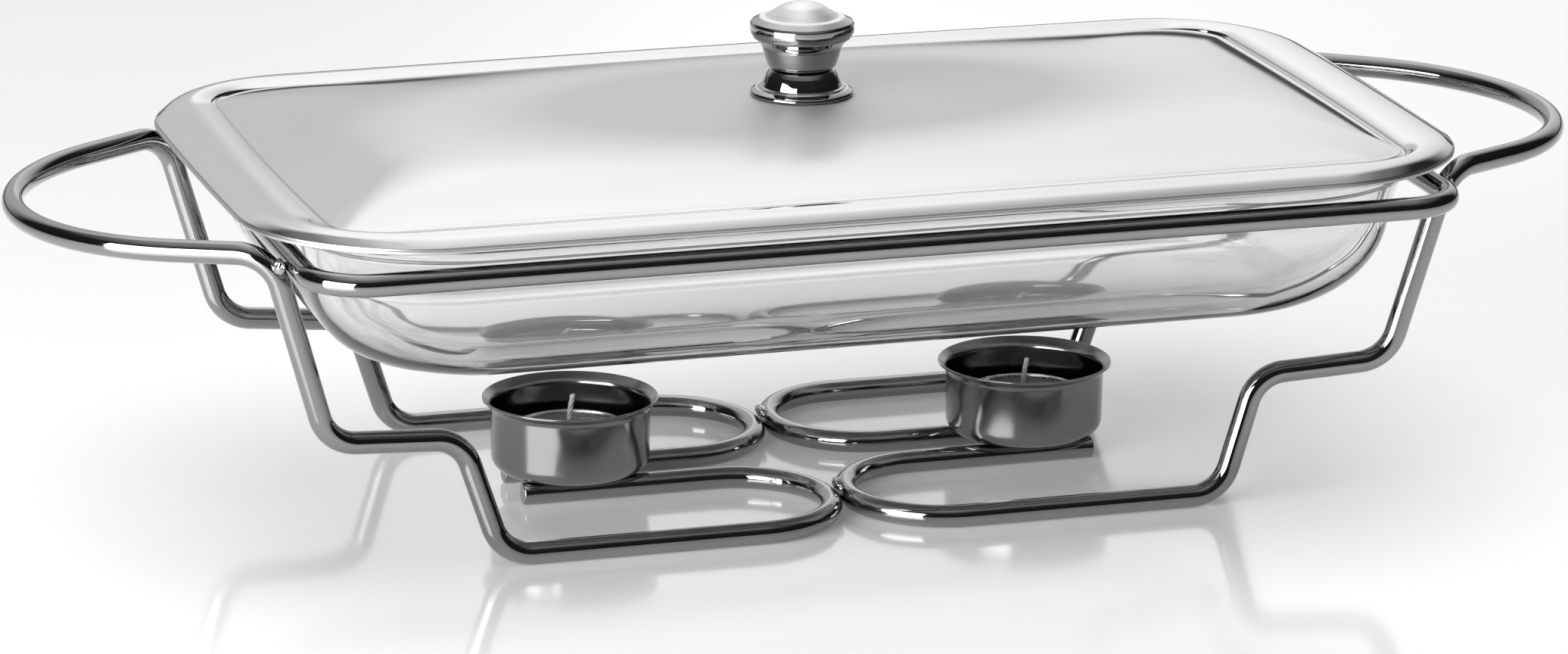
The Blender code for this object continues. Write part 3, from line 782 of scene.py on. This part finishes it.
def candle_cup(word):
    """Pressed cup with a flared lip, whose floor is raised a little in the middle."""
    node = word + "_candle_cup"
    low, high = box_mm(node)
    centre = (low + high) / 2
    lip_r = (high.x - low.x) / 2
    bottom = low.z
    top = high.z
    wall_r = lip_r - CUP_FLARE_OUT
    sheet = CUP_SHEET
    flare_low = top - CUP_FLARE_HEIGHT
    outside = [(0, bottom + 0.5, 0), (wall_r - 12, bottom + 0.5, 3), (wall_r - 9.5, bottom, 3)]
    outside += [(wall_r - 0.35, bottom, 5.0), (wall_r, flare_low, 2.6), (lip_r - 0.1, top - 0.75, 0.25)]
    inside = [(lip_r - 0.05, top - 0.1, 0.2), (lip_r - 0.5, top, 0.2)]
    inside += [(wall_r - sheet, flare_low + 0.55, 3.2)]
    inside += [(wall_r - sheet - 0.35, bottom + sheet, 4.2), (wall_r - 9.5, bottom + sheet, 3)]
    inside += [(wall_r - 12, bottom + sheet + 0.5, 3), (0, bottom + sheet + 0.5, 0)]
    bm = bmesh.new()
    lathe(bm, turned(outside + inside, math.radians(8)), (centre.x, centre.y), 144)
    steel = satin_steel(word + "_satin_steel", (centre.x * MM, centre.y * MM))
    make_piece(word + "_cup", bm, [steel], "stand", [node])


# ---------------------------------------------------------------- tealights

def tealight(word, foil, wax, cotton, tin):
    """The four pieces of one tealight, round the middle of its shell."""
    low, high = box_mm(word + "_tealight_shell")
    centre = (low + high) / 2
    foil_cup(word, centre, foil)
    wax_fill(word, centre, wax)
    braided_wick(word, centre, cotton)
    wick_foot(word, centre, tin)


def foil_cup(word, centre, foil):
    """Drawn cup with shallow flutes down its wall and a small bead round its brim."""
    low, high = box_mm(word + "_tealight_shell")
    radius = (high.x - low.x) / 2 - 0.4
    bottom, top = low.z, high.z

    def flute(r, z, angle):
        """Flutes that fade out at the brim and the base."""
        if r < radius - 1.2:
            return 0.0
        above_base = min(max((z - bottom - 1.5) / 3.0, 0), 1)
        below_brim = min(max((top - 1.8 - z) / 2.0, 0), 1)
        wave = 0.5 - 0.5 * math.cos(FOIL_FLUTES * angle)
        return -FOIL_FLUTE_DEPTH * above_base * below_brim * wave

    inside_r = radius - FOIL_SHEET
    floor_z = bottom + FOIL_SHEET
    shell = [(0, bottom, 0), (radius - 3.4, bottom, 0.6), (radius - 2.6, bottom + 0.3, 0.5)]
    shell += [(radius - 1.9, bottom, 0.5), (radius, bottom, 1.3), (radius, top - 0.9, 0.5)]
    shell += [(radius + 0.38, top - 0.5, 0.25), (radius + 0.3, top, 0.2), (radius - 0.05, top, 0.15)]
    shell += [(inside_r, top - 0.6, 0.5), (inside_r, floor_z, 1.0), (0, floor_z, 0)]
    section = turned(shell, math.radians(15))
    profile = []
    for first, second in zip(section, section[1:]):
        profile += split_span(first, second, 0.8)
    profile.append(section[-1])
    bm = bmesh.new()
    lathe(bm, profile, (centre.x, centre.y), 192, flute)
    body = word + "_tealight"
    make_piece(word + "_foil_cup", bm, [foil], body, [word + "_tealight_shell"])


def wax_fill(word, centre, wax):
    """Wax that has sunk a little between the wick and the wall, with room below for the wick's foot."""
    low, high = box_mm(word + "_tealight_wax")
    radius = (high.x - low.x) / 2
    bottom, surface = low.z, high.z
    wick_r = 1.0
    foot_r = 6.8
    form = [(wick_r + 0.25, surface - 0.1), (wick_r + 0.6, surface - 0.42), (wick_r + 1.6, surface - 0.62)]
    form += [(radius * 0.4, surface - 0.62), (radius * 0.75, surface - 0.5), (radius - 1.2, surface - 0.36)]
    form += [(radius - 0.35, surface - 0.08), (radius, surface + 0.05)]
    profile = spline(form)
    profile += [(radius, bottom + 0.9), (radius - 0.6, bottom), (foot_r, bottom), (foot_r, bottom + 0.7)]
    profile += [(wick_r + 0.8, bottom + 0.7), (wick_r + 0.8, bottom + 4.2), (wick_r + 0.25, bottom + 4.2)]
    bm = bmesh.new()
    lathe(bm, profile, (centre.x, centre.y), 96)
    for v in bm.verts:
        if v.co.z > surface - 1.0:
            v.co.z += 0.10 * noise.noise(Vector((v.co.x, v.co.y, centre.x)) * 0.16)
    body = word + "_tealight"
    make_piece(word + "_wax_fill", bm, [wax], body, [word + "_tealight_wax"], sharp_deg=35)


def wick_foot(word, centre, tin):
    """Tin disc under the wax, with a short neck crimped round the wick."""
    low, high = box_mm(word + "_wick_tab")
    disc_r = (high.x - low.x) / 2
    tab = [(1.25, low.z, 0.05), (disc_r, low.z, 0.15), (disc_r, low.z + 0.4, 0.15)]
    tab += [(2.2, low.z + 0.4, 0.5), (1.65, low.z + 1.0, 0.3), (1.6, high.z - 0.3, 0.15)]
    tab += [(1.45, high.z, 0.1), (1.25, high.z, 0.05)]
    bm = bmesh.new()
    lathe(bm, turned(tab), (centre.x, centre.y), 72)
    make_piece(word + "_wick_foot", bm, [tin], word + "_tealight", [word + "_wick_tab"])


def split_span(first, second, longest):
    """Points from first up to, not with, second, no further apart than longest."""
    length = math.hypot(second[0] - first[0], second[1] - first[1])
    parts = max(1, math.ceil(length / longest))
    out = []
    for i in range(parts):
        t = i / parts
        out.append((first[0] + (second[0] - first[0]) * t, first[1] + (second[1] - first[1]) * t))
    return out


def wick_lean(share):
    """Sideways lean of the wick's line at a share of its height: a slight S, then over at the tip."""
    tip = max(0.0, (share - 0.55) / 0.45) ** 1.6
    return tip - 0.35 * math.sin(math.pi * max(0.0, share - 0.4) / 0.6)


def braided_wick(word, centre, cotton):
    """Cotton strands twisted round the wick's line."""
    low, high = box_mm(word + "_wick")
    height = high.z - low.z
    foot = Vector((centre.x, centre.y, low.z))
    bm = bmesh.new()
    steps = 90
    for strand in range(WICK_STRANDS):
        points = []
        for i in range(steps + 1):
            t = i / steps
            turn = 2 * math.pi * (strand / WICK_STRANDS + WICK_TWISTS * t)
            x = STRAND_OFFSET * math.cos(turn) + wick_lean(t)
            y = STRAND_OFFSET * math.sin(turn)
            points.append(foot + Vector((x, y, height * t - 0.05 * strand * t)))
        sweep(bm, points, STRAND_R, 14, bevel=0.2)
    body = word + "_tealight"
    make_piece(word + "_braided_wick", bm, [cotton], body, [word + "_wick"], sharp_deg=180)


# ---------------------------------------------------------------- glass dish

def tray(wall_x, wall_y, corner_r, floor_z, top_z, bend_r):
    """Levels (half x, half y, corner radius, z) of a tray's skin: a bend up from the floor, then the wall."""
    levels = []
    steps = 14
    for i in range(steps + 1):
        angle = math.pi / 2 * i / steps
        inset = DISH_DRAFT + bend_r * (1 - math.sin(angle))
        corner = max(corner_r - DISH_TIGHTENING * inset, DISH_SHARPEST_CORNER_R)
        levels.append((wall_x - inset, wall_y - inset, corner, floor_z + bend_r * (1 - math.cos(angle))))
    start = levels[-1][3]
    for i in range(1, 7):
        t = i / 6
        inset = DISH_DRAFT * (1 - t)
        corner = corner_r - DISH_TIGHTENING * inset
        levels.append((wall_x - inset, wall_y - inset, corner, start + (top_z - start) * t))
    return levels


def glass_dish(glass):
    """Pressed tray with a rounded flange, as one skin from under its floor, over the rim, to its inside."""
    low, high = box_mm("glass_dish")
    half_x = (high.x - low.x) / 2
    half_y = (high.y - low.y) / 2
    rim_top = high.z
    rim_low = rim_top - DISH_FLANGE
    mouth_x = DISH_WALL_X - DISH_WALL
    mouth_y = DISH_WALL_Y - DISH_WALL
    mouth_corner = DISH_WALL_CORNER_R - DISH_WALL

    levels = tray(DISH_WALL_X, DISH_WALL_Y, DISH_WALL_CORNER_R, low.z, rim_low - 1.6, DISH_BEND_R)
    for out, below in ((0.3, 0.5), (1.1, 0.0)):
        corner = DISH_WALL_CORNER_R + out
        levels.append((DISH_WALL_X + out, DISH_WALL_Y + out, corner, rim_low - below))
    edge_r = DISH_FLANGE_EDGE_R
    for start_deg, centre_z in ((-90, rim_low + edge_r), (0, rim_top - edge_r)):
        for i in range(7):
            angle = math.radians(start_deg + 15 * i)
            inset = edge_r * (1 - math.cos(angle))
            z = centre_z + edge_r * math.sin(angle)
            levels.append((half_x - inset, half_y - inset, DISH_CORNER_R - inset, z))
    mouth_r = DISH_MOUTH_R
    for i in range(5):
        angle = math.radians(22.5 * i)
        out = mouth_r * (1 - math.sin(angle))
        z = rim_top - mouth_r * (1 - math.cos(angle))
        levels.append((mouth_x + out, mouth_y + out, mouth_corner + out, z))
    bend_r = DISH_BEND_R - DISH_WALL
    inner = tray(mouth_x, mouth_y, mouth_corner, low.z + DISH_BASE, rim_top - mouth_r - 0.2, bend_r)
    levels += inner[::-1][1:]

    outlines = []
    for x, y, corner, z in levels:
        outlines.append([Vector((p.x, p.y, z)) for p in rounded_rectangle(x, y, corner)])
    bm = bmesh.new()
    skin(bm, outlines)
    make_piece("glass_tray", bm, [glass], "dish", ["glass_dish"], sharp_deg=180)


# ---------------------------------------------------------------- lid and knob

def eased(share):
    """Share from 0 to 1, with a soft start and end."""
    share = min(max(share, 0), 1)
    return share * share * (3 - 2 * share)


def lid_outline(half_x, half_y, inset):
    """The lid's outline, drawn in by inset.

    Its corners tighten and its ends move in up to the crease, and the corners open slowly behind it.
    """
    share = min(inset / LID_CREASE_IN, 1)
    corner = LID_CORNER_R + (LID_CREASE_CORNER_R - LID_CORNER_R) * share
    corner += 0.25 * max(inset - LID_CREASE_IN, 0)
    end = half_x - inset - LID_CREASE_END * eased(share)
    return rounded_rectangle(end, half_y - inset, corner, LID_BOW, 36, 20)


def lid_underside(section, outline, edge_z):
    """Levels of the border's inner face, one sheet thickness from its outer face."""
    levels = []
    for i, (inset, rise) in enumerate(section):
        before = section[max(i - 1, 0)]
        after = section[min(i + 1, len(section) - 1)]
        slope = Vector((after[0] - before[0], after[1] - before[1])).normalized()
        within = Vector((slope.y, -slope.x)) * LID_SHEET
        if inset < HEM_FOLD + 0.1:
            within = Vector((HEM_FOLD + LID_SHEET - inset, min(0.0, 0.4 - rise)))
        z = max(edge_z + rise + within.y, edge_z + 0.1)
        levels.append([Vector((p.x, p.y, z)) for p in outline(inset + within.x)])
    return levels


def lid_sheet(steel):
    """Pressed sheet: a rolled hem, a convex border, a crease and a raised panel with the knob's hole."""
    low, high = box_mm("lid_cover")
    half_x = (high.x - low.x) / 2
    half_y = (high.y - low.y) / 2
    edge_z = low.z
    centre_z = high.z
    section = turned(LID_HEM + LID_BORDER + LID_CREASE, math.radians(9))
    skirt, crease_rise = section[-1]
    half_a = half_x - skirt - LID_CREASE_END
    half_b = half_y - skirt
    crown = centre_z - edge_z - crease_rise - LID_SHOULDER

    def outline(inset):
        return lid_outline(half_x, half_y, inset)

    def panel_z(x, y, depth):
        """Height of the panel: a soft shoulder behind the crease, then a crown, flat under the knob."""
        cushion = (1 - min(abs(x) / half_a, 1) ** 2.2) * (1 - min(abs(y) / half_b, 1) ** 2.0)
        shoulder = LID_SHOULDER * (1 - math.exp(-depth / LID_SHOULDER_REACH))
        z = edge_z + crease_rise + shoulder + crown * cushion
        seat = eased(1 - (math.hypot(x, y) - KNOB_SEAT_R) / KNOB_SEAT_EASE)
        return z + (centre_z - z) * seat

    border = [[Vector((p.x, p.y, edge_z + rise)) for p in outline(inset)] for inset, rise in section]
    panel = []
    for i in range(1, LID_PANEL_STEPS + 1):
        depth = LID_PANEL_REACH * (i / LID_PANEL_STEPS) ** 1.5
        panel.append([Vector((p.x, p.y, panel_z(p.x, p.y, depth))) for p in outline(skirt + depth)])
    inner = outline(skirt + LID_PANEL_REACH)
    hole = []
    for k in range(len(inner)):
        angle = 2 * math.pi * k / len(inner)
        hole.append(Vector((LID_HOLE_R * math.cos(angle), LID_HOLE_R * math.sin(angle))))
    for i in range(1, 21):
        share = 0.05 * i
        level = []
        for p, at_hole in zip(inner, hole):
            q = p.lerp(at_hole, share)
            level.append(Vector((q.x, q.y, panel_z(q.x, q.y, LID_PANEL_REACH + 30 * share))))
        panel.append(level)

    under = lid_underside(section, outline, edge_z)
    for level in panel:
        under.append([Vector((p.x, p.y, p.z - LID_SHEET)) for p in level])
    bm = bmesh.new()
    skin(bm, border + panel + under[::-1], capped=False)
    make_piece("lid_sheet", bm, [steel], "lid", ["lid_cover"], sharp_deg=60)


def turned_piece(name, profile, step_deg, segments, metals, node, painted_highlight_above=math.inf):
    """Turned piece of the knob. Faces higher than the height given take the second metal, which on the knob
    head is the satin top with its painted highlight.
    """
    bm = bmesh.new()
    lathe(bm, turned(profile, math.radians(step_deg)), (0, 0), segments)
    for face in bm.faces:
        if face.calc_center_median().z > painted_highlight_above:
            face.material_index = 1
    make_piece(name, bm, metals, "lid", [node], sharp_deg=40)


def knob_bell(metal):
    """Lower rosette: a stepped foot under a waisted bell."""
    low, high = box_mm("knob_base")
    bottom, top = low.z, high.z
    bell = [(3.2, bottom, 0), (16.2, bottom, 0.2), (16.7, bottom + 0.5, 0.4), (16.4, bottom + 1.3, 0.7)]
    bell += [(14.9, bottom + 2.15, 0.5), (14.2, bottom + 2.1, 0.2), (13.7, bottom + 2.6, 0.4)]
    bell += [(12.85, bottom + 2.8, 0.25), (12.5, bottom + 4.2, 2.0), (11.5, bottom + 6.6, 2.5)]
    bell += [(10.5, bottom + 8.05, 0.5), (9.9, bottom + 8.3, 0.2), (9.6, top, 0.1), (3.2, top, 0)]
    turned_piece("knob_bell", bell, 9, 160, [metal], "knob_base")


def knob_head(metal, cap_painted_highlight_metal):
    """Mushroom head on a tapered stem, with a satin dome on top whose pale colour is a painted highlight, and
    a blind hole for the screw.
    """
    z = box_mm("knob_body")[0].z
    hole_r = 2.8
    head = [(0, z + 8.0, 0), (hole_r, z + 7.0, 0), (hole_r, z, 0), (9.3, z, 0.3), (10.6, z + 0.3, 0.6)]
    head += [(11.2, z + 1.2, 2), (12.0, z + 3.7, 8), (12.75, z + 6.5, 1), (12.75, z + 6.9, 0.15)]
    head += [(13.0, z + 7.0, 0.1), (13.0, z + 7.3, 0.3), (13.9, z + 8.6, 2), (15.9, z + 10.2, 1.0)]
    head += [(16.15, z + 10.8, 0.4), (16.2, z + 11.3, 0.1), (16.7, z + 11.7, 0.3), (16.8, z + 12.8, 1.0)]
    head += [(16.75, z + 14.5, 0.6), (16.2, z + 15.3, 0.5), (13.9, z + 16.5, 0.2), (13.6, z + 16.7, 0.15)]
    head += [(12.4, z + 16.6, 0.3), (11.6, z + 16.7, 1.4), (9.8, z + 18.0, 2.5), (6.6, z + 20.1, 5)]
    head += [(3.2, z + 21.2, 5), (0, z + 21.4, 0)]
    metals = [metal, cap_painted_highlight_metal]
    # The top dome's faces take the satin metal with the painted highlight.
    turned_piece("knob_head", head, 9, 160, metals, "knob_body", painted_highlight_above=z + 16.5)


def knob_washer(metal):
    """Flat washer under the screw's head."""
    low, high = box_mm("knob_washer")
    outer = (high.x - low.x) / 2
    plate = [(2.7, low.z, 0.1), (outer, low.z, 0.3), (outer, high.z, 0.3), (2.7, high.z, 0.1)]
    turned_piece("knob_fixing_washer", plate, 15, 96, [metal], "knob_washer")


def machine_screw(metal):
    """Pan-head screw with a cross recess and a coarse thread."""
    low, high = box_mm("knob_screw")
    head_low = low.z
    head_r = (high.x - low.x) / 2
    head_top = head_low + 3.0
    thread_r = 2.15
    thread_depth = 0.35
    pitch = 0.8
    recess_reach = 2.9
    recess_half_width = 0.55
    profile = [(0, head_low, 0), (head_r - 1.6, head_low + 0.15, 1.5), (head_r, head_low + 1.4, 1.0)]
    profile += [(head_r, head_top, 0.15), (thread_r, head_top, 0.1)]
    points = turned(profile, math.radians(10))
    z = head_top + 0.6
    while z < high.z - 1.4:
        points += [(thread_r, z), (thread_r - thread_depth, z + pitch / 2)]
        z += pitch
    points += [(thread_r, z), (thread_r - 0.9, high.z), (0, high.z)]
    bm = bmesh.new()
    lathe(bm, points, (0, 0), 64)
    for v in bm.verts:
        if v.co.z > head_low + 1.0:
            continue
        across = min(abs(v.co.x), abs(v.co.y))
        along = max(abs(v.co.x), abs(v.co.y))
        if along < recess_reach and across < recess_half_width:
            v.co.z = head_low + 1.6 * (1 - along / (recess_reach + 1.2))
    make_piece("knob_cross_screw", bm, [metal], "lid", ["knob_screw"], sharp_deg=35)


# ---------------------------------------------------------------- put together

make_camera()
make_floor()
light_studio()

rod_metal = rod_chrome()
rod_end = sawn_end()
ring_rod(rod_metal)
for side_word, side_sign in SIDES:
    end_wire(side_word, side_sign, rod_metal, rod_end)
    candle_cup(side_word)
bead_metal = weld_metal()
for depth_word in ("front", "back"):
    weld_bead("base_weld_" + depth_word, (1.0, 1.2, 1.0), bead_metal)
    for side_word, _ in SIDES:
        weld_bead(f"ring_weld_{depth_word}_{side_word}", (1.15, 1.15, 1.5), bead_metal)

wick_tin = dull_metal("wick_foot_tin", 0.4, 0.55, 0.3, 0.5)
tealight_looks = (aluminium_foil(), candle_wax_painted_shade(), cotton_wick(), wick_tin)
for side_word, _ in SIDES:
    tealight(side_word, *tealight_looks)

glass_dish(pressed_glass())
lid_sheet(polished_lid())
knob_metal = turned_chrome()
knob_bell(knob_metal)
knob_head(knob_metal, satin_cap_painted_highlight())
knob_washer(dull_metal("washer_zinc", 0.45, 0.62, 0.25, 0.42))
machine_screw(dull_metal("screw_zinc", 0.42, 0.58, 0.25, 0.45))
